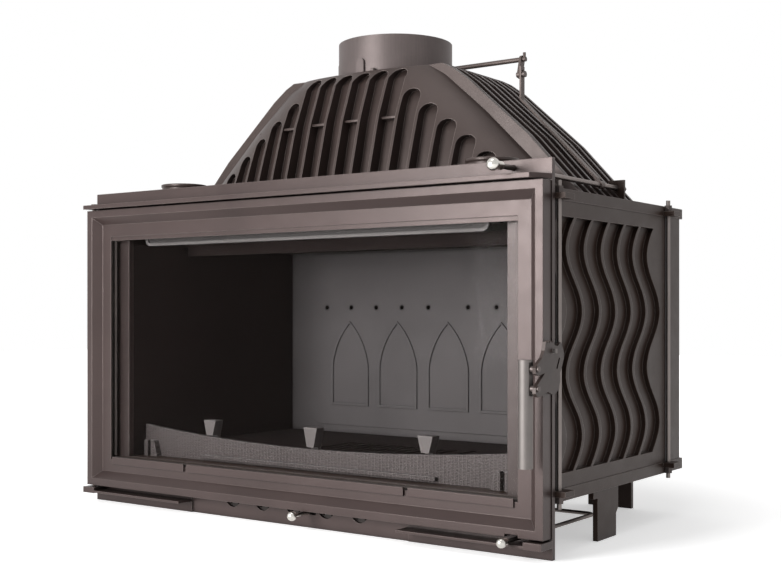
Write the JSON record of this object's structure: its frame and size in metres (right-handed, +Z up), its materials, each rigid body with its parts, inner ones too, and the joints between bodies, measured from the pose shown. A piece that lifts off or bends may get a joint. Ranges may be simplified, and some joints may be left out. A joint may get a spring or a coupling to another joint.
{
  "type": "fireplace insert",
  "caption": "Built-in wood-burning fireplace insert: glazed cast door, ribbed firebox, finned smoke hood with flue collar, hot-air outlets, damper rod, air shutter and throttle.",
  "frame": {"origin": "centre of the footprint, at the level of the frame's foot", "axes": "+X to the right seen from the front, +Y from the door to the back, +Z up"},
  "size_m": [0.948, 0.534, 0.806],
  "materials": {
    "cast": "fine-grained stove enamel over sand casting",
    "inner_cast": "dark matt casting",
    "sheet": "matt painted sheet",
    "bright": "satin steel",
    "dark_steel": "dark oiled steel",
    "glass": "clear ceramic glass",
    "rope": "woven glass-fibre rope"
  },
  "bodies": {
    "firebox": {"airwash_deflector": "inner_cast", "ash_box": "sheet", "ash_pan": "sheet", "back_wall": "cast", "bottom_plate": "cast", "collar_screws": "bright", "fender": "cast", "fireback": "inner_cast", "firebox_front": "cast", "flue_collar": "cast", "front_frame": "cast", "grate": "inner_cast", "hearth_plate": "inner_cast", "hinge_pins": "dark_steel", "hood_front": "cast", "hood_rear": "cast", "hot_air_outlets": "cast", "latch_boss": "cast", "ledge_left": "cast", "ledge_right": "cast", "log_stops": "cast", "rear_legs": "cast", "rod_ear": "cast", "shutter_seat": "sheet", "side_legs": "cast", "side_liners": "inner_cast", "side_wall_left": "cast", "side_wall_right": "cast", "smoke_baffle": "inner_cast", "smoke_bar": "sheet", "throttle_guides": "sheet", "tie_rod_nuts": "bright", "tie_rods": "bright", "top_plate": "cast", "upper_lip": "cast"},
    "door": {"door_frame": "cast", "door_glass": "glass", "glass_gasket": "rope", "door_rope": "rope", "glass_retainers": "sheet", "retainer_screws": "bright", "door_sill_bars": "cast"},
    "handle": {"handle_lever": "dark_steel", "handle_shaft": "bright", "handle_grip": "bright", "grip_screws": "bright"},
    "damper": {"damper_disc": "dark_steel", "damper_axle": "dark_steel", "damper_crank": "dark_steel", "crank_bolt": "bright"},
    "damper_control": {"damper_rod": "dark_steel", "damper_knob": "bright", "damper_link": "dark_steel", "rod_nut": "bright"},
    "shutter": {"air_shutter": "sheet", "shutter_knob": "bright"},
    "throttle": {"throttle_rod": "dark_steel", "throttle_knob": "bright", "throttle_plate": "sheet"}
  },
  "joints": [
    {"name": "door_hinge", "type": "hinge", "parent": "firebox", "child": "door", "pos_m": [-0.449, -0.216, 0.273], "axis": [0, 0, -1], "range_deg": [0, 115]},
    {"name": "handle_turn", "type": "hinge", "parent": "door", "child": "handle", "pos_m": [0.46, -0.214, 0.285], "axis": [-1, 0, 0], "range_deg": [0, 35]},
    {"name": "damper_turn", "type": "hinge", "parent": "firebox", "child": "damper", "pos_m": [0, 0.079, 0.752], "axis": [1, 0, 0], "range_deg": [-20.14, 40.28]},
    {"name": "damper_rod_slide", "type": "slide", "parent": "firebox", "child": "damper_control", "axis": [0, 1, 0], "range_m": [-0.009, 0.018]},
    {"name": "air_shutter_slide", "type": "slide", "parent": "firebox", "child": "shutter", "axis": [1, 0, 0], "range_m": [-0.01, 0.01]},
    {"name": "throttle_slide", "type": "slide", "parent": "firebox", "child": "throttle", "axis": [0, -1, 0], "range_m": [0, 0.04]}
  ],
  "couplings": [
    {"joint": "damper_turn", "follows": "damper_rod_slide", "rad_per_m": 39.06}
  ]
}
